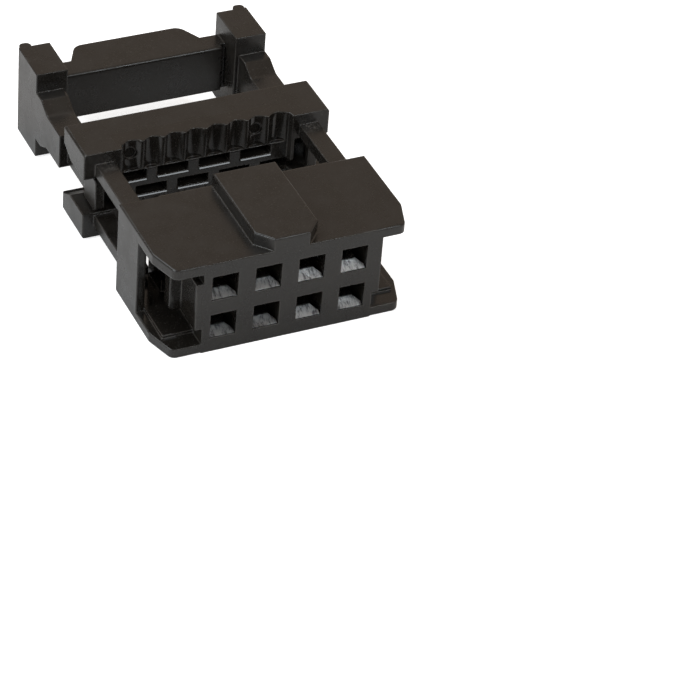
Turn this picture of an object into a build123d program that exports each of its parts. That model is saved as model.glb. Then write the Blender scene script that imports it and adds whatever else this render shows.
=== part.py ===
"""Eight-way ribbon cable socket with insulation displacement contacts, a cover and a strain relief.

The socket is drawn as it is delivered: the cover stands open behind the body and the strain
relief stands open behind the cover. X runs along the contact rows, Y from the mating face to
the cable side, and Z up through the polarizing key. The origin is the middle of the contact
grid on the mating face. All sizes are in millimetres.
"""
import os

from build123d import *

# Contact grid
pitch = 2.54
columns = 4
rows = 2

# Socket body
body_depth = 6.75
mouth_width = 1.53
mouth_height = 1.58
mouth_depth = 0.10
chamber_width = 1.60
chamber_height = 2.02
end_wall = 0.475
rear_slot_depth = 1.60
rear_slot_height = 0.90
rear_shoulder_depth = 1.90
flange_thickness = 0.60
flange_taper_width = 0.60
flange_taper_depth = 1.85
flange_corner_radius = 0.45
floor_pad_height = 0.20
floor_pad_setback = 1.15
latch_slot_width = 1.80
post_thickness = 0.50
post_depth = 2.95
side_rib_proud = 0.41
side_rib_top = 1.70
side_rib_bottom = -1.30
latch_proud = 0.69
latch_half_height = 1.25
latch_flat = 0.70
latch_ramp = 0.70
latch_corner_radius = 0.30
edge_round = 0.10

# Polarizing key
key_width = 3.75
key_height = 0.80
key_corner_width = 0.85
key_corner_depth = 0.95

# Contacts
strip_thickness = 0.20
leaf_offset = 0.72
leaf_gap = 0.42
lip_width = 1.48
lip_flare = 0.17
lip_depth = 0.58
lip_rise = 0.32
lip_end_width = 0.84
contact_point_width = 0.90
leaf_root_width = 1.30
lip_setback = 0.11
contact_point_setback = 2.60
leaf_root_setback = 4.20
strip_bend_radius = 0.16
fork_width = 1.50
fork_reach = 1.10
fork_shoulder_depth = 1.50
fork_slot_width = 0.30
fork_slot_depth = 1.90
fork_mouth_width = 0.70
fork_mouth_depth = 0.45
fork_tip_chamfer = 0.22

# Cover
cover_overhang = 0.10
cover_depth = 3.20
cover_step = 0.12
cover_corner_radius = 0.12
cover_back_chamfer = 0.10
cover_web_inset = 0.45
cover_gap_height = 2.40
wire_setback = 0.40
wire_groove_radius = 0.72
wire_groove_depth = 0.26
wire_bed_margin = 0.775
wire_bed_draft = 0.10
pocket_width = 1.90
pocket_height = 0.62
pocket_band = 0.90
ejector_mark_wires = (0, 6)
ejector_mark_radius = 0.38
ejector_mark_depth = 0.10
ejector_mark_height = 1.95
pocket_depth = 1.50
cover_arm_length = 5.45
cover_arm_height = 4.20
cover_arm_thickness = 1.12
cover_arm_window = 2.70
cover_arm_corner_radius = 0.40
cover_tip_depth = 0.60

# Strain relief
relief_inset = 0.21
relief_block_width = 1.90
relief_block_depth = 3.00
relief_step = 0.14
relief_bead_width = 0.70
relief_bead_inset = 0.09
relief_bead_height = 0.40
relief_bead_radius = 0.28
relief_bar_setback = 1.19
relief_bar_depth = 1.40
relief_bar_height = 3.08
relief_bar_edge = 0.16
relief_bar_groove_width = 0.30
relief_bar_groove_depth = 0.35
relief_bulge_height = 1.45
relief_bulge_width = 8.10
relief_bulge_crown = 6.60
relief_bulge_radius = 0.75
relief_arm_length = 8.60
relief_arm_height = 2.16
relief_root_height = 3.16
relief_root_length = 0.80
relief_ramp_length = 0.95
relief_root_radius = 0.30
relief_ramp_radius = 0.60
relief_shoulder = 3.85
relief_blade_thickness = 1.12
relief_blade_height = 1.70
relief_hook_length = 1.70
relief_hook_height = 2.06
relief_hook_slant = 1.05
relief_hook_radius = 0.30

# Running clearances
slide_gap = 0.05
side_gap = 0.08
fork_gap = 0.05
funnel_gap = 0.06
blade_gap = 0.04
web_gap = 0.12
hook_gap = 0.06
latch_gap = 0.11

# Where the open cover and the open strain relief stand
cover_travel = 4.92
relief_travel = 4.60

# Places worked out from the sizes above
wire_pitch = pitch / 2
row_height = pitch / 2
grid_half = (columns - 1) * pitch / 2
wire_half = (rows * columns - 1) * wire_pitch / 2

block_half = grid_half + mouth_width / 2 + end_wall
rib_half = block_half + side_rib_proud
latch_top = rib_half + latch_proud
post_inner = block_half + latch_slot_width
body_half = post_inner + post_thickness
slot_half_height = cover_arm_height / 2 + slide_gap
flange_inner = slot_half_height + floor_pad_height
body_top = flange_inner + flange_thickness

cover_arm_outer = post_inner - side_gap
cover_arm_inner = cover_arm_outer - cover_arm_thickness
window_half = cover_arm_window / 2
gap_half = cover_gap_height / 2
cover_half = body_half + cover_overhang
cover_top = body_top - cover_step
cover_web_half = rib_half + blade_gap - web_gap
wire_bed_half = wire_half + wire_bed_margin
cover_closed = body_depth + slide_gap
cover_front = cover_closed + cover_travel
latch_face = cover_closed - cover_arm_length + cover_tip_depth + side_gap

relief_half = body_half - relief_inset
relief_top = body_top - relief_step
relief_block_inner = relief_half - relief_block_width
relief_arm_inner = rib_half + blade_gap
relief_blade_outer = relief_arm_inner + relief_blade_thickness
relief_hook_inner = latch_top + latch_gap
relief_hook_outer = post_inner - hook_gap
relief_closed = cover_closed + relief_shoulder
relief_front = cover_front + relief_shoulder + relief_travel

fork_end = body_depth + fork_reach


def box(x, y, z):
    """A block between two places on each axis."""
    size = [abs(high - low) for low, high in (x, y, z)]
    middle = [(low + high) / 2 for low, high in (x, y, z)]
    return Pos(*middle) * Box(*size)


def plate(outline, low, high):
    """A closed outline in plan, given by its corners, drawn up from one height to another."""
    face = make_face(Polyline(*outline, close=True))
    return Pos(0, 0, low) * extrude(face, high - low)


def side_profile(outline, low, high):
    """A closed outline in the YZ plane, drawn out along X from one place to another."""
    face = make_face(Polyline(*outline, close=True))
    return Plane.YZ.offset(low) * extrude(face, high - low)


def both_ends(solid):
    """A solid and its mirror image at the other end of the row."""
    return solid + mirror(solid, Plane.YZ)


def rounded(solid, axis, radius, keep=lambda edge: True):
    """The solid with the edges that run along an axis, or those of them to be kept, rounded."""
    edges = solid.edges().filter_by(axis).filter_by(keep)
    return fillet(edges, radius)


def contact_places():
    """The number, column place and row sign of each contact, row by row."""
    number = 0
    for row in (1, -1):
        for column in range(columns):
            number += 1
            yield number, row * (column * pitch - grid_half), row


def flange():
    """The upper flange of the body, with tapered and rounded front corners."""
    outline = [
        (flange_taper_width - body_half, 0),
        (body_half - flange_taper_width, 0),
        (body_half, flange_taper_depth),
        (body_half, body_depth),
        (-body_half, body_depth),
        (-body_half, flange_taper_depth),
    ]
    solid = plate(outline, flange_inner, body_top)
    solid = rounded(solid, Axis.Z, flange_corner_radius, lambda edge: edge.center().Y < body_depth / 2)
    return fillet(solid.faces().sort_by(Axis.Z)[-1].edges(), edge_round)


def key():
    """The polarizing key, with its front corners cut off."""
    half = key_width / 2
    outline = [
        (key_corner_width - half, 0),
        (half - key_corner_width, 0),
        (half, key_corner_depth),
        (half, body_depth),
        (-half, body_depth),
        (-half, key_corner_depth),
    ]
    solid = plate(outline, body_top - flange_thickness / 2, body_top + key_height)
    return fillet(solid.faces().sort_by(Axis.Z)[-1].edges(), edge_round)


def latch():
    """The ramp at the right end that the tip of the cover's arm passes."""
    outline = [
        (block_half, latch_face),
        (latch_top, latch_face),
        (latch_top, latch_face + latch_flat),
        (rib_half, latch_face + latch_flat + latch_ramp),
        (block_half, latch_face + latch_flat + latch_ramp),
    ]
    solid = plate(outline, -latch_half_height, latch_half_height)
    return rounded(solid, Axis.Y, latch_corner_radius, lambda edge: edge.center().X > rib_half)


def socket_end(rib_top):
    """What stands at the right end of the body between the flanges, with the rib up to a height."""
    post = box(
        (post_inner, body_half), (body_depth - post_depth, body_depth), (-flange_inner, flange_inner)
    )
    pad = box(
        (block_half, post_inner), (floor_pad_setback, body_depth), (slot_half_height, flange_inner)
    )
    rib = box((grid_half, rib_half), (0, body_depth), (side_rib_bottom, rib_top))
    shoulder = box(
        (grid_half, rib_half), (body_depth - rear_shoulder_depth, body_depth), (-flange_inner, flange_inner)
    )
    return post + pad + mirror(pad, Plane.XY) + rib + shoulder + latch()


def contact_chamber():
    """The passage for one contact of the upper row, drawn about the contact's own axis."""
    mouth = box((-mouth_width / 2, mouth_width / 2), (0, body_depth), (-mouth_height / 2, mouth_height / 2))
    chamber = box(
        (-chamber_width / 2, chamber_width / 2), (mouth_depth, body_depth),
        (-chamber_height / 2, chamber_height / 2),
    )
    rear_slot = box(
        (-wire_pitch / 2 - fork_width / 2 - fork_gap, 0), (body_depth - rear_slot_depth, body_depth),
        (-leaf_offset - strip_thickness / 2 - fork_gap, -leaf_offset + rear_slot_height - fork_gap),
    )
    return mouth + chamber + rear_slot


def place_contact(shape, x, row):
    """A shape drawn about the contact's axis, put in its column, and turned over in the lower row."""
    if row < 0:
        shape = Rot(0, 180, 0) * shape
    return Pos(x, 0, row * row_height) * shape


def socket_body():
    block = box((-block_half, block_half), (0, body_depth), (-body_top, body_top))
    upper = flange()
    body = block + upper + mirror(upper, Plane.XY) + key()
    body += socket_end(flange_inner) + mirror(socket_end(side_rib_top), Plane.YZ)
    chamber = contact_chamber()
    for number, x, row in contact_places():
        body -= place_contact(chamber, x, row)
    return body


def leaf_outline():
    """The spring leaf below the pin in side view: a flared lip, a long arm to its crown, and its root."""
    low = -leaf_offset - strip_thickness / 2
    crown = -leaf_gap / 2
    root = leaf_root_setback + strip_thickness
    lip_end = lip_setback + lip_depth
    outer = [
        (lip_setback, low - lip_flare),
        (lip_end, low - lip_flare + lip_rise),
        (contact_point_setback, crown - strip_thickness),
        (leaf_root_setback, low),
        (root, low),
    ]
    inner = [(y, z + strip_thickness) for y, z in reversed(outer)]
    return outer + inner


def leaf():
    """One spring leaf, wide at the lip and narrow behind it, where it bends and touches the pin."""
    half_lip = lip_width / 2
    half_lip_end = lip_end_width / 2
    half_point = contact_point_width / 2
    half_root = leaf_root_width / 2
    right = [
        (half_lip, 0),
        (half_lip, lip_setback + strip_thickness),
        (half_lip_end, lip_setback + lip_depth),
        (half_point, contact_point_setback),
        (half_root, leaf_root_setback),
        (half_root, leaf_root_setback + strip_thickness),
    ]
    left = [(-x, y) for x, y in reversed(right)]
    plan = plate(right + left, -chamber_height / 2, chamber_height / 2)
    return side_profile(leaf_outline(), -half_lip, half_lip) & plan


def fork():
    """The flat stem behind the leaf and the forked end that cuts into a wire, as one plate."""
    middle = -wire_pitch / 2
    shoulder = body_depth - fork_shoulder_depth
    half_root = leaf_root_width / 2
    half = fork_width / 2
    half_slot = fork_slot_width / 2
    half_mouth = fork_mouth_width / 2
    outline = [
        (-half_root, leaf_root_setback),
        (-half_root, shoulder),
        (middle - half, shoulder),
        (middle - half, fork_end - 2 * fork_tip_chamfer),
        (middle - half + fork_tip_chamfer, fork_end),
        (middle - half_mouth, fork_end),
        (middle - half_slot, fork_end - fork_mouth_depth),
        (middle - half_slot, fork_end - fork_slot_depth),
        (middle + half_slot, fork_end - fork_slot_depth),
        (middle + half_slot, fork_end - fork_mouth_depth),
        (middle + half_mouth, fork_end),
        (middle + half - fork_tip_chamfer, fork_end),
        (middle + half, fork_end - 2 * fork_tip_chamfer),
        (middle + half, body_depth - fork_tip_chamfer),
        (half_root, body_depth - fork_shoulder_depth / 2),
        (half_root, leaf_root_setback),
    ]
    return plate(outline, -leaf_offset - strip_thickness / 2, -leaf_offset + strip_thickness / 2)


def contact():
    """One stamped contact about its own axis: a hairpin of two leaves, with a fork behind it."""
    half = leaf_root_width / 2
    top = leaf_offset + strip_thickness / 2
    back = leaf_root_setback + strip_thickness
    hairpin = box((-half, half), (leaf_root_setback, back), (-top, top))
    hairpin = rounded(
        hairpin, Axis.X, strip_bend_radius,
        lambda edge: edge.center().Y > leaf_root_setback + slide_gap and edge.center().Z > 0,
    )
    lower = leaf()
    return lower + mirror(lower, Plane.XY) + hairpin + fork()


def cover_arms():
    """The right arm of the cover: two rails and a tip, with room for the strain relief between."""
    half = cover_arm_height / 2
    arm = box((cover_arm_inner, cover_arm_outer), (-cover_arm_length, 0), (-half, half))
    arm = rounded(arm, Axis.X, cover_arm_corner_radius, lambda edge: edge.center().Y < -cover_arm_length / 2)
    window = box(
        (cover_arm_inner - side_gap, cover_arm_outer + side_gap),
        (cover_tip_depth - cover_arm_length, side_gap), (-window_half, window_half),
    )
    relief = box(
        (cover_arm_inner - side_gap, latch_top + slide_gap),
        (-cover_arm_length - side_gap, cover_tip_depth - cover_arm_length + side_gap),
        (-window_half, window_half),
    )
    root = box((cover_arm_inner, cover_arm_outer), (0, wire_setback), (window_half, half))
    return arm - window - relief + root + mirror(root, Plane.XY)


def end_recess():
    """The passage for the strain relief's arm through the right end of the cover."""
    funnel_front = relief_shoulder - relief_root_length - relief_ramp_length - funnel_gap
    funnel_back = funnel_front + relief_ramp_length
    rise = gap_half - relief_arm_height / 2
    root_half = relief_root_height / 2 + rise
    outline = [
        (-side_gap, -gap_half),
        (funnel_front, -gap_half),
        (funnel_back, -root_half),
        (cover_depth + side_gap, -root_half),
        (cover_depth + side_gap, root_half),
        (funnel_back, root_half),
        (funnel_front, gap_half),
        (-side_gap, gap_half),
    ]
    return side_profile(outline, cover_web_half, cover_half + side_gap)


def wire_bed():
    """What is cut from the cover's front: a set-back bed with a groove for each wire."""
    outline = [
        (-wire_bed_half, -side_gap),
        (-wire_bed_half, 0),
        (wire_bed_draft - wire_bed_half, wire_setback),
        (wire_bed_half - wire_bed_draft, wire_setback),
        (wire_bed_half, 0),
        (wire_bed_half, -side_gap),
    ]
    bed = plate(outline, -body_top, body_top)
    groove_axis = wire_setback + wire_groove_depth - wire_groove_radius
    groove = Pos(0, 0, pocket_band + body_top / 2) * Cylinder(wire_groove_radius, body_top)
    for wire in range(rows * columns):
        bed += Pos(wire * wire_pitch - wire_half, groove_axis, 0) * (groove + mirror(groove, Plane.XY))
    mark_floor = wire_setback + wire_groove_depth + ejector_mark_depth
    mark = Rot(90, 0, 0) * Cylinder(ejector_mark_radius, 2 * mark_floor)
    for wire in ejector_mark_wires:
        for height in (-ejector_mark_height, ejector_mark_height):
            bed += Pos(wire * wire_pitch - wire_half, 0, height) * mark
    return bed


def cover():
    half = cover_half
    solid = box((-half, half), (0, cover_depth), (-cover_top, cover_top))
    solid = rounded(solid, Axis.Z, cover_corner_radius, lambda edge: edge.center().Y > cover_depth / 2)
    solid = chamfer(
        solid.edges().filter_by(Axis.X).filter_by(lambda edge: edge.center().Y > cover_depth / 2),
        cover_back_chamfer,
    )
    solid -= box((-half - side_gap, half + side_gap), (cover_depth - cover_web_inset, cover_depth + side_gap),
                 (-gap_half, gap_half))
    solid -= both_ends(end_recess())
    solid -= wire_bed()
    for number, x, row in contact_places():
        fork_x = x - row * wire_pitch / 2
        fork_z = row * (row_height - leaf_offset)
        solid -= box(
            (fork_x - pocket_width / 2, fork_x + pocket_width / 2), (-side_gap, pocket_depth),
            (fork_z - pocket_height / 2, fork_z + pocket_height / 2),
        )
    solid += both_ends(cover_arms())
    return Pos(0, cover_front, 0) * solid


def relief_bar():
    """The clamping bar, with a raised back that stiffens its middle."""
    front = relief_bar_setback
    back = front + relief_bar_depth
    half = relief_block_inner + slide_gap
    foot = relief_bulge_width / 2
    crown = relief_bulge_crown / 2
    outline = [
        (-half, front),
        (half, front),
        (half, back),
        (foot, back),
        (crown, back + relief_bulge_height),
        (-crown, back + relief_bulge_height),
        (-foot, back),
        (-half, back),
    ]
    height = relief_bar_height / 2
    solid = plate(outline, -height, height)
    solid = rounded(solid, Axis.Z, relief_bulge_radius, lambda edge: edge.center().Y > back + relief_bulge_height / 2)
    solid = rounded(solid, Axis.X, relief_bar_edge, lambda edge: edge.center().Y < front + relief_bar_edge)
    groove = box(
        (relief_block_inner - relief_bar_groove_width, relief_block_inner),
        (0, front + relief_bar_groove_depth), (-height - side_gap, height + side_gap),
    )
    return solid - both_ends(groove)


def relief_arm():
    """The right arm of the strain relief: a thick root, a ramp, a shoulder, a blade and a hook."""
    arm_half = relief_arm_height / 2
    root_half = relief_root_height / 2
    ramp_end = -relief_root_length - relief_ramp_length
    root_outline = [
        (relief_bar_setback, -root_half),
        (-relief_root_length, -root_half),
        (ramp_end, -arm_half),
        (-relief_shoulder, -arm_half),
        (-relief_shoulder, arm_half),
        (ramp_end, arm_half),
        (-relief_root_length, root_half),
        (relief_bar_setback, root_half),
    ]
    root = side_profile(root_outline, relief_arm_inner, relief_half)
    root = rounded(
        root, Axis.X, relief_root_radius,
        lambda edge: abs(edge.center().Y + relief_root_length) < slide_gap,
    )
    root = rounded(root, Axis.X, relief_ramp_radius, lambda edge: abs(edge.center().Y - ramp_end) < slide_gap)
    tip = -relief_arm_length
    hook_start = tip + relief_hook_length
    blade_half = relief_blade_height / 2
    blade_outline = [
        (relief_arm_inner, -relief_root_length),
        (relief_arm_inner, hook_start),
        (relief_hook_inner, hook_start - relief_hook_slant),
        (relief_hook_inner, tip + relief_hook_radius),
        (relief_blade_outer, tip + relief_hook_radius),
        (relief_blade_outer, -relief_root_length),
    ]
    blade = plate(blade_outline, -blade_half, blade_half)
    hook_outline = [
        (relief_arm_inner, hook_start),
        (relief_hook_inner, hook_start - relief_hook_slant),
        (relief_hook_inner, tip),
        (relief_hook_outer, tip),
        (relief_hook_outer, hook_start),
    ]
    hook_half = relief_hook_height / 2
    hook = plate(hook_outline, -hook_half, hook_half)
    hook = rounded(hook, Axis.X, relief_hook_radius, lambda edge: edge.center().Y < tip + slide_gap)
    return root + blade + hook


def strain_relief():
    block = box((relief_block_inner, relief_half), (0, relief_block_depth), (-relief_top, relief_top))
    bead_outer = relief_half - relief_bead_inset
    bead = box(
        (bead_outer - relief_bead_width, bead_outer),
        (relief_block_depth - relief_bead_height, relief_block_depth + relief_bead_height),
        (-relief_top, relief_top),
    )
    bead = rounded(bead, Axis.Z, relief_bead_radius, lambda edge: edge.center().Y > relief_block_depth)
    return Pos(0, relief_front, 0) * (both_ends(block + bead + relief_arm()) + relief_bar())


def write(name, solid, color):
    """Name, colour and write one piece."""
    shape = solid.solids()[0] if len(solid.solids()) == 1 else solid
    shape.label = name
    shape.color = color
    export_step(shape, f"parts/{name}.step")
    bounds = shape.bounding_box()
    print(name, len(solid.solids()), round(solid.volume, 3), bounds.min, bounds.max)


os.makedirs("parts", exist_ok=True)
black = Color(0.05, 0.05, 0.05)
tin = Color(0.75, 0.74, 0.70)

write("socket_body", socket_body(), black)
stamping = contact()
for number, x, row in contact_places():
    write(f"contact_{number}", place_contact(stamping, x, row), tin)
write("cover", cover(), black)
write("strain_relief", strain_relief(), black)
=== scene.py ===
import math

import bmesh
import bpy
from mathutils import Matrix, Vector


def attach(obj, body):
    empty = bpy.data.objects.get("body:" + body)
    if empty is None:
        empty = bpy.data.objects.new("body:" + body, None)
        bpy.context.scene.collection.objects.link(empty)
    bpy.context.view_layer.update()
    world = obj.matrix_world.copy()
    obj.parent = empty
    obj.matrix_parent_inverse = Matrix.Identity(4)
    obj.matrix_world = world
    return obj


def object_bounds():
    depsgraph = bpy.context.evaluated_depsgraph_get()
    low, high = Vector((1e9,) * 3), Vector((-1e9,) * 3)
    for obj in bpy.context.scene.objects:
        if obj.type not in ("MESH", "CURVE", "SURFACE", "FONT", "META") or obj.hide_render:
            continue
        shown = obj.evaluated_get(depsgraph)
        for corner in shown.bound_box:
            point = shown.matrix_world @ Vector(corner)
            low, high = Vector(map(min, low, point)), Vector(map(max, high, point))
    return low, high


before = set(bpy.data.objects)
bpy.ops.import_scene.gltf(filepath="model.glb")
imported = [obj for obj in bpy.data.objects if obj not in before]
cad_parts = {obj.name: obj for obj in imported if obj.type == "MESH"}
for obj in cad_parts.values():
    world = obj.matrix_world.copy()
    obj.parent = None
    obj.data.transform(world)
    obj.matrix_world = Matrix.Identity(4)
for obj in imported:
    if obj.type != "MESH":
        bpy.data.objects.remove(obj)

# Lengths are written in millimetres, and this brings them to the frame's metres
MM = 0.001
cad_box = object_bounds()

# The camera stands where the photograph's did, found from the pin openings and the corners of the pieces
camera_azimuth = math.radians(-27.62)
camera_elevation = math.radians(37.82)
camera_roll = math.radians(5.231)
camera_distance = 182.515
camera_offset_x = -3.305
camera_offset_y = 3.161
focal_pixels = 3366.0
image_pixels = 700.0
sensor_width = 36.0
clip_range = (10, 20000)

# The soft boxes: the place and width of each, and its power in watts
lamps = {
    "key_left": ((-190, -30, 110), 110, 0.24),
    "fill_low": ((-60, -190, 50), 100, 0.05),
    "edge_front": ((100, -165, 185), 85, 0.16),
    "top_back": ((-60, 110, 195), 130, 0.20),
}
lamp_tint = (0.88, 0.95, 1.0)
lamp_target = (0, 10, 0)
# The warm sky: the side where it is brightest, and its levels from facing away from there to facing it
sky_tint = (1.0, 0.80, 0.64, 1)
sky_bright_side = (0.72, 0.48, 0.50)
sky_facing = (-0.1, 0.9)
sky_levels = (0.14, 0.45)
# The share of the white backdrop in what gloss mirrors of the sky
backdrop_in_gloss = 0.03
# The floor, with its own share of white as the camera sees it and as gloss mirrors it
floor_color = (0.93, 0.93, 0.93, 1)
floor_roughness = 0.9
floor_specular = 0.1
floor_glow = 0.78
floor_glow_in_gloss = 0.05
floor_half_width = 1500
floor_gap = 0.02

# Every noise is given by its cycles per metre, its detail and its roughness
mottle_noise = (650, 5, 0.62)
fibre_noise = (9500, 1.5, 0.7)
grain_noise = (3600, 6, 0.7)
crumb_noise = (6500, 4, 0.8)
crystal_noise = (6000, 4, 0.75)
plating_noise = (2600, 4, 0.55)
rolling_noise = (14000, 3, 0.55)

# The moulded plastic's dark and warm grounds, and its pale glass fibres, whose pale tone is also laid on
# the edges as a painted highlight
plastic_dark = (0.0105, 0.0092, 0.0078, 1)
plastic_warm = (0.0150, 0.0130, 0.0108, 1)
plastic_fleck_and_highlight = (0.085, 0.078, 0.070, 1)
plastic_specular = 0.5
mottle_reach = (0.34, 0.66)
fibre_reach = (0.60, 0.74)
fibre_strength = 0.35
# Its skin outside, and on the small sills: roughness, depth of grain and softness of the edges
skin_gloss = (0.23, 0.36)
skin_grain = 0.22
skin_edge = 0.14
sill_gloss = (0.13, 0.18)
sill_grain = 0.04
sill_soft_edge = 0.02
grain_depth = 0.02
edge_samples = 8
# Where an edge counts as turned, how unevenly it is polished and painted pale as a highlight, and how
# smoothly it is polished
edge_turn = (0.995, 0.80)
rub_and_highlight_reach = (0.36, 0.64)
rub_and_highlight_levels = (0.12, 0.75)
rubbed_gloss = 0.14
# Where the mould was polished, the cover's wire bed and the body's end slots: each is the middle and the
# half size of a box that is mirrored to all sides, and the last row says how sharply a box ends
wire_bed_box = ((2.5, 12.6, 0), (2.87, 0.6, 2.95))
end_slot_box = ((6.15, 3.4, 0), (1.08, 3.25, 2.50))
box_fade = (1.0, 0.97)
# The roughness in there, and the share that is left of the grain
polished_gloss = 0.13
polished_grain = 0.3
# Where each arm of the cover was trimmed from its moulding gate, how far its crumbs reach, and how densely
gate_place = (6.15, 11.42, 2.05)
gate_reach = 0.75
gate_core = 0.35
gate_strength = 0.85
crumb_reach = (0.50, 0.60)

# How far behind the mating face the coined lip of a contact ends, and how softly
lip_end = 0.66
lip_fade = 0.25
# Where the strip inside the body, darkened as painted shade, gives way to the bright forks, and how softly
fork_start = 5.4
fork_fade = 1.0
# The plating's tones: the lip's from its pits to its crystals, the strip's darkened as painted shade, and
# the forks'
lip_tones = [
    (0.38, (0.22, 0.23, 0.24, 1)),
    (0.48, (0.72, 0.75, 0.78, 1)),
    (0.56, (0.96, 0.99, 1.0, 1)),
]
# The dark tone that the lips' painted shade runs towards
lip_shaded_tone = 0.05
shaded_strip_tones = [(0.25, (0.30, 0.29, 0.27, 1)), (0.75, (0.52, 0.50, 0.47, 1))]
fork_tones = [(0.25, (0.66, 0.66, 0.65, 1)), (0.75, (0.90, 0.90, 0.88, 1))]
lip_gloss = 0.34
strip_gloss = 0.20
fork_gloss = 0.42
# Painted shade on the lips, darker towards the left columns and the lower row: its width as a share of the
# row's half, and the share of the colour left along and across the grid
lip_shade_width = 0.6
lip_shade_along = (0.45, 1.0)
lip_shade_across = (0.68, 1.0)
# How the crystals and the rolling lines are drawn out along the strip
crystal_stretch = (1, 0.35, 0.35)
rolling_stretch = (1, 0.12, 1)
plating_relief = 0.9
plating_depth = 0.06
plating_edge = 0.04
plating_samples = 6

# The contact grid, as in the solids
pitch = 2.54
columns = 4
grid_half = (columns - 1) / 2 * pitch
wire_pitch = pitch / 2
# The raised sill under each pocket of the cover, set on the bed's face between the wire grooves
pocket_width = 1.90
pocket_floor = 0.31
pocket_row = 0.55
bed_face = 12.12
sill_height = 0.172
sill_slope = sill_height / 2
sill_proud = 0.11
sill_top_proud = sill_proud / 4
sill_root = 0.03
sill_bevel = 0.02
sill_bevel_steps = 3
round_profile = 0.5


def grey(value):
    return (value, value, value, 1)


class Graph:
    """Short ways to add nodes to one tree. Those after feed return the socket of their result."""

    def __init__(self, tree):
        self.nodes = tree.nodes
        self.links = tree.links

    def add(self, kind, **settings):
        node = self.nodes.new(kind)
        for name, value in settings.items():
            setattr(node, name, value)
        return node

    def feed(self, source, target):
        """Link a socket to another, or set a plain value on it."""
        if isinstance(source, bpy.types.NodeSocket):
            self.links.new(source, target)
        else:
            target.default_value = source

    def math(self, operation, *values):
        node = self.add("ShaderNodeMath", operation=operation)
        for value, target in zip(values, node.inputs):
            self.feed(value, target)
        return node.outputs["Value"]

    def vector(self, operation, *values, result="Vector"):
        node = self.add("ShaderNodeVectorMath", operation=operation)
        for value, target in zip(values, node.inputs):
            self.feed(value, target)
        return node.outputs[result]

    def mix(self, factor, first, second, kind="FLOAT"):
        node = self.add("ShaderNodeMix", data_type=kind)
        self.feed(factor, node.inputs["Factor"])
        self.feed(first, node.inputs["A"])
        self.feed(second, node.inputs["B"])
        return node.outputs["Result"]

    def noise(self, place, kind):
        scale, detail, roughness = kind
        node = self.add("ShaderNodeTexNoise")
        node.inputs["Scale"].default_value = scale
        node.inputs["Detail"].default_value = detail
        node.inputs["Roughness"].default_value = roughness
        self.links.new(place, node.inputs["Vector"])
        return node.outputs["Fac"]

    def ramp(self, value, stops):
        """A colour ramp through (place, colour) stops."""
        node = self.add("ShaderNodeValToRGB")
        elements = node.color_ramp.elements
        while len(elements) < len(stops):
            elements.new(0.5)
        for element, (place, color) in zip(elements, stops):
            element.position = place
            element.color = color
        self.links.new(value, node.inputs["Fac"])
        return node.outputs["Color"]

    def grey_ramp(self, value, reach, levels):
        return self.ramp(value, [(place, grey(level)) for place, level in zip(reach, levels)])

    def fade(self, value, reach, levels=(0.0, 1.0), shape="LINEAR"):
        """A value that runs between two levels while another runs between two ends."""
        node = self.add("ShaderNodeMapRange", interpolation_type=shape)
        node.inputs["From Min"].default_value = reach[0]
        node.inputs["From Max"].default_value = reach[1]
        node.inputs["To Min"].default_value = levels[0]
        node.inputs["To Max"].default_value = levels[1]
        self.links.new(value, node.inputs["Value"])
        return node.outputs["Result"]

    def fade_along(self, coordinate, start, end, levels=(0.0, 1.0), shape="LINEAR"):
        """The same along a coordinate, between two places on it."""
        return self.fade(coordinate, (start * MM, end * MM), levels, shape)

    def stretched(self, place, scale):
        node = self.add("ShaderNodeMapping")
        node.inputs["Scale"].default_value = scale
        self.links.new(place, node.inputs["Vector"])
        return node.outputs["Vector"]

    def soft_edges(self, radius, samples):
        node = self.add("ShaderNodeBevel", samples=samples)
        node.inputs["Radius"].default_value = radius * MM
        return node.outputs["Normal"]

    def bumped(self, height, normal, strength, depth):
        node = self.add("ShaderNodeBump")
        self.feed(strength, node.inputs["Strength"])
        node.inputs["Distance"].default_value = depth * MM
        self.links.new(height, node.inputs["Height"])
        self.links.new(normal, node.inputs["Normal"])
        return node.outputs["Normal"]


def new_material(name):
    """An empty node material with its shader and output."""
    material = bpy.data.materials.new(name)
    material.use_nodes = True
    material.node_tree.nodes.clear()
    graph = Graph(material.node_tree)
    output = graph.add("ShaderNodeOutputMaterial")
    shader = graph.add("ShaderNodeBsdfPrincipled")
    graph.links.new(shader.outputs["BSDF"], output.inputs["Surface"])
    return material, graph, shader, output


def in_metres(place):
    return [value * MM for value in place]


def camera_frame():
    """The camera's right, up and back directions."""
    right = Vector((math.cos(camera_azimuth), math.sin(camera_azimuth), 0))
    back = Vector((
        math.sin(camera_azimuth) * math.cos(camera_elevation),
        -math.cos(camera_azimuth) * math.cos(camera_elevation),
        math.sin(camera_elevation),
    ))
    up = back.cross(right)
    rolled_right = right * math.cos(camera_roll) + up * math.sin(camera_roll)
    rolled_up = up * math.cos(camera_roll) - right * math.sin(camera_roll)
    return rolled_right, rolled_up, back


def make_camera():
    right, up, back = camera_frame()
    data = bpy.data.cameras.new("camera")
    data.sensor_width = sensor_width
    data.lens = focal_pixels * sensor_width / image_pixels
    data.clip_start, data.clip_end = in_metres(clip_range)
    camera = bpy.data.objects.new("camera", data)
    bpy.context.scene.collection.objects.link(camera)
    place = back * camera_distance - right * camera_offset_x - up * camera_offset_y
    turn = Matrix((right, up, back)).transposed().to_4x4()
    camera.matrix_world = Matrix.Translation(place * MM) @ turn
    bpy.context.scene.camera = camera


def ray_share(graph, seen_share, gloss_share):
    """One share for rays from the camera or through glass, and another for mirrored rays."""
    path = graph.add("ShaderNodeLightPath")
    seen = graph.math("MAXIMUM", path.outputs["Is Camera Ray"], path.outputs["Is Transmission Ray"])
    direct = graph.math("MULTIPLY", seen, seen_share)
    return graph.math("MULTIPLY_ADD", path.outputs["Is Glossy Ray"], gloss_share, direct)


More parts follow.
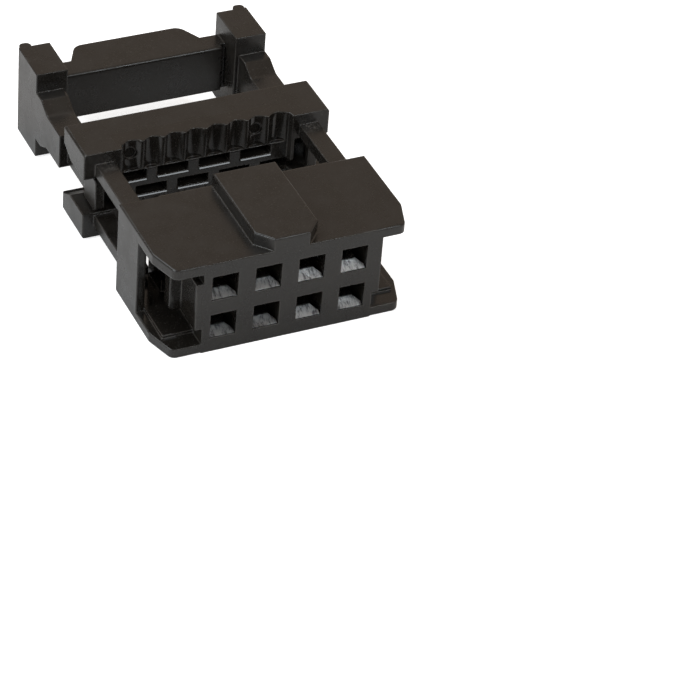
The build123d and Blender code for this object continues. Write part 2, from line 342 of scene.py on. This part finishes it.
def make_world():
    """A dim warm sky, brighter on one side, and plain white where the camera looks past the floor."""
    world = bpy.data.worlds.new("studio")
    world.use_nodes = True
    graph = Graph(world.node_tree)
    sky = graph.nodes["Background"]
    sky.inputs["Color"].default_value = sky_tint
    direction = graph.add("ShaderNodeTexCoord").outputs["Generated"]
    facing = graph.vector("DOT_PRODUCT", direction, sky_bright_side, result="Value")
    graph.links.new(graph.fade(facing, sky_facing, sky_levels), sky.inputs["Strength"])
    backdrop = graph.add("ShaderNodeBackground")
    backdrop.inputs["Color"].default_value = grey(1)
    backdrop.inputs["Strength"].default_value = 1.0
    blend = graph.add("ShaderNodeMixShader")
    graph.links.new(ray_share(graph, 1.0, backdrop_in_gloss), blend.inputs["Fac"])
    graph.links.new(sky.outputs["Background"], blend.inputs[1])
    graph.links.new(backdrop.outputs["Background"], blend.inputs[2])
    graph.links.new(blend.outputs["Shader"], graph.nodes["World Output"].inputs["Surface"])
    bpy.context.scene.world = world


def floor_material():
    """A plain white floor that keeps the object's soft shadow."""
    material, graph, shader, output = new_material("floor_white")
    shader.inputs["Base Color"].default_value = floor_color
    shader.inputs["Roughness"].default_value = floor_roughness
    shader.inputs["Specular IOR Level"].default_value = floor_specular
    glow = graph.add("ShaderNodeEmission")
    glow.inputs["Color"].default_value = grey(1)
    graph.links.new(ray_share(graph, floor_glow, floor_glow_in_gloss), glow.inputs["Strength"])
    both = graph.add("ShaderNodeAddShader")
    graph.links.new(shader.outputs["BSDF"], both.inputs[0])
    graph.links.new(glow.outputs["Emission"], both.inputs[1])
    graph.links.new(both.outputs["Shader"], output.inputs["Surface"])
    return material


def make_floor():
    """A large level sheet just under the body."""
    half = floor_half_width * MM
    level = cad_box[0][2] - floor_gap * MM
    mesh = bpy.data.meshes.new("floor")
    corners = [(-half, -half, level), (half, -half, level), (half, half, level), (-half, half, level)]
    mesh.from_pydata(corners, [], [(0, 1, 2, 3)])
    floor = bpy.data.objects.new("floor", mesh)
    bpy.context.scene.collection.objects.link(floor)
    mesh.materials.append(floor_material())


def add_lamp(name, place, width, power):
    """A square soft box, turned to the middle of the object."""
    data = bpy.data.lights.new(name, "AREA")
    data.shape = "SQUARE"
    data.size = width * MM
    data.energy = power
    data.color = lamp_tint
    lamp = bpy.data.objects.new(name, data)
    bpy.context.scene.collection.objects.link(lamp)
    lamp.location = Vector(place) * MM
    aim = Vector(lamp_target) * MM - lamp.location
    lamp.rotation_euler = aim.to_track_quat("-Z", "Y").to_euler()


def gate_scar(graph, place, folded):
    """Coarse pale flecks where the cover's two arms were trimmed from the moulding gate."""
    crumb = graph.grey_ramp(graph.noise(place, crumb_noise), crumb_reach, (0, 1))
    away = graph.vector("DISTANCE", folded, in_metres(gate_place), result="Value")
    near = graph.fade_along(away, gate_core * gate_reach, gate_reach, (gate_strength, 0.0))
    return graph.math("MULTIPLY", crumb, near)


def edge_wear_and_highlight(graph, soft_normal, mottle):
    """How much an edge is polished and painted pale as a highlight: where the softened normal leaves the
    face's own, unevenly.
    """
    own_normal = graph.add("ShaderNodeNewGeometry").outputs["Normal"]
    facing = graph.vector("DOT_PRODUCT", soft_normal, own_normal, result="Value")
    turned = graph.fade(facing, edge_turn)
    uneven = graph.grey_ramp(mottle, rub_and_highlight_reach, rub_and_highlight_levels)
    return graph.math("MULTIPLY", turned, uneven)


def inside_box(graph, folded, box):
    """One inside a box and nought outside it, for a place folded onto one side."""
    middle, half = box
    away = graph.vector("ABSOLUTE", graph.vector("SUBTRACT", folded, in_metres(middle)))
    parts = graph.add("ShaderNodeSeparateXYZ")
    graph.links.new(graph.vector("DIVIDE", away, in_metres(half)), parts.inputs["Vector"])
    wider = graph.math("MAXIMUM", parts.outputs["X"], parts.outputs["Y"])
    widest = graph.math("MAXIMUM", wider, parts.outputs["Z"])
    return graph.fade(widest, box_fade)


def moulded_plastic(name, gloss_range=skin_gloss, grain=skin_grain, edge_radius=skin_edge):
    """Glass-filled moulded plastic: a near-black ground, fine pale fibres, a soft satin skin, and edges
    painted pale as a highlight.
    """
    material, graph, shader, _ = new_material(name)
    shader.inputs["Specular IOR Level"].default_value = plastic_specular
    place = graph.add("ShaderNodeTexCoord").outputs["Object"]
    folded = graph.vector("ABSOLUTE", place)
    mottle = graph.noise(place, mottle_noise)
    soft_normal = graph.soft_edges(edge_radius, edge_samples)
    rubbed_and_highlit = edge_wear_and_highlight(graph, soft_normal, mottle)
    recess = graph.math(
        "MAXIMUM", inside_box(graph, folded, wire_bed_box), inside_box(graph, folded, end_slot_box)
    )

    ground = graph.ramp(mottle, list(zip(mottle_reach, (plastic_dark, plastic_warm))))
    fibres = graph.grey_ramp(graph.noise(place, fibre_noise), fibre_reach, (0, fibre_strength))
    flecks = graph.math("MAXIMUM", fibres, gate_scar(graph, place, folded))
    flecked = graph.mix(flecks, ground, plastic_fleck_and_highlight, "RGBA")
    # The edges are painted pale as a highlight, by the same mask that polishes them
    graph.links.new(graph.mix(rubbed_and_highlit, flecked, plastic_fleck_and_highlight, "RGBA"), shader.inputs["Base Color"])

    gloss = graph.grey_ramp(mottle, mottle_reach, gloss_range)
    skin = graph.mix(recess, gloss, polished_gloss)
    graph.links.new(graph.mix(rubbed_and_highlit, skin, rubbed_gloss), shader.inputs["Roughness"])

    strength = graph.fade(recess, (0.0, 1.0), (grain, polished_grain * grain))
    normal = graph.bumped(graph.noise(place, grain_noise), soft_normal, strength, grain_depth)
    graph.links.new(normal, shader.inputs["Normal"])
    return material


def plated_metal(name):
    """Tin-plated strip: a coarse bright coined lip, a strip inside the body darkened as painted shade and
    with rolling lines, and satin forks.
    """
    material, graph, shader, _ = new_material(name)
    shader.inputs["Metallic"].default_value = 1.0
    place = graph.add("ShaderNodeTexCoord").outputs["Object"]
    axes = graph.add("ShaderNodeSeparateXYZ")
    graph.links.new(place, axes.inputs["Vector"])
    behind_lip = graph.fade_along(axes.outputs["Y"], lip_end, lip_end + lip_fade)
    on_fork = graph.fade_along(axes.outputs["Y"], fork_start, fork_start + fork_fade)

    crystals = graph.noise(graph.stretched(place, crystal_stretch), crystal_noise)
    # Painted shade: the lips are darker towards the left columns and the lower row
    lip_shade_half = lip_shade_width * grid_half
    along = graph.fade_along(axes.outputs["X"], -lip_shade_half, lip_shade_half, lip_shade_along, "SMOOTHSTEP")
    across = graph.fade_along(axes.outputs["Z"], -pitch, 0, lip_shade_across)
    lip_painted_shade = graph.math("MULTIPLY", along, across)
    lip = graph.mix(lip_painted_shade, grey(lip_shaded_tone), graph.ramp(crystals, lip_tones), "RGBA")
    plating = graph.noise(place, plating_noise)
    # The strip inside the body takes darker tones than the forks as painted shade
    strip = graph.mix(on_fork, graph.ramp(plating, shaded_strip_tones), graph.ramp(plating, fork_tones), "RGBA")
    graph.links.new(graph.mix(behind_lip, lip, strip, "RGBA"), shader.inputs["Base Color"])

    gloss = graph.grey_ramp(behind_lip, (0.0, 1.0), (lip_gloss, strip_gloss))
    graph.links.new(graph.mix(on_fork, gloss, fork_gloss), shader.inputs["Roughness"])

    rolling = graph.noise(graph.stretched(place, rolling_stretch), rolling_noise)
    height = graph.mix(behind_lip, crystals, rolling)
    soft_normal = graph.soft_edges(plating_edge, plating_samples)
    normal = graph.bumped(height, soft_normal, plating_relief, plating_depth)
    graph.links.new(normal, shader.inputs["Normal"])
    return material


def pocket_sill(name, x, z, material):
    """A low moulded rim under one pocket of the cover, with a sloping top and rounded edges."""
    half = pocket_width / 2
    section = [
        (bed_face + sill_root, z),
        (bed_face - sill_top_proud, z),
        (bed_face - sill_proud, z - sill_slope),
        (bed_face - sill_proud, z - sill_height),
        (bed_face + sill_root, z - sill_height),
    ]
    mesh = bpy.data.meshes.new(name)
    shape = bmesh.new()
    ends = []
    for side in (-half, half):
        ends.append([shape.verts.new(Vector((x + side, y, height)) * MM) for y, height in section])
    left, right = ends
    for corner in range(len(section)):
        after = (corner + 1) % len(section)
        shape.faces.new((left[corner], left[after], right[after], right[corner]))
    shape.faces.new(list(reversed(left)))
    shape.faces.new(right)
    bmesh.ops.recalc_face_normals(shape, faces=shape.faces)
    front = [edge for edge in shape.edges if all(vert.co.y < bed_face * MM for vert in edge.verts)]
    bmesh.ops.bevel(
        shape, geom=front, offset=sill_bevel * MM, offset_type="OFFSET", segments=sill_bevel_steps,
        profile=round_profile, affect="EDGES",
    )
    shape.to_mesh(mesh)
    shape.free()
    mesh.materials.append(material)
    sill = bpy.data.objects.new(name, mesh)
    bpy.context.scene.collection.objects.link(sill)
    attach(sill, "cover")


def add_sills(material):
    number = 0
    for row in (1, -1):
        for column in range(columns):
            number += 1
            x = column * pitch - grid_half - row * wire_pitch / 2
            pocket_sill("pocket_sill_%d" % number, x, row * pocket_row - pocket_floor, material)


def dress_nodes():
    black = moulded_plastic("black_plastic")
    add_sills(moulded_plastic("black_plastic_sill", sill_gloss, sill_grain, sill_soft_edge))
    metal = plated_metal("plated_metal")
    for name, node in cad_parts.items():
        material = metal if name.startswith("contact_") else black
        for slot in node.material_slots:
            slot.material = material
        if not node.material_slots:
            node.data.materials.append(material)


make_camera()
make_world()
make_floor()
for lamp_name, lamp_facts in lamps.items():
    add_lamp(lamp_name, *lamp_facts)
dress_nodes()

bpy.context.scene.view_settings.view_transform = "Standard"
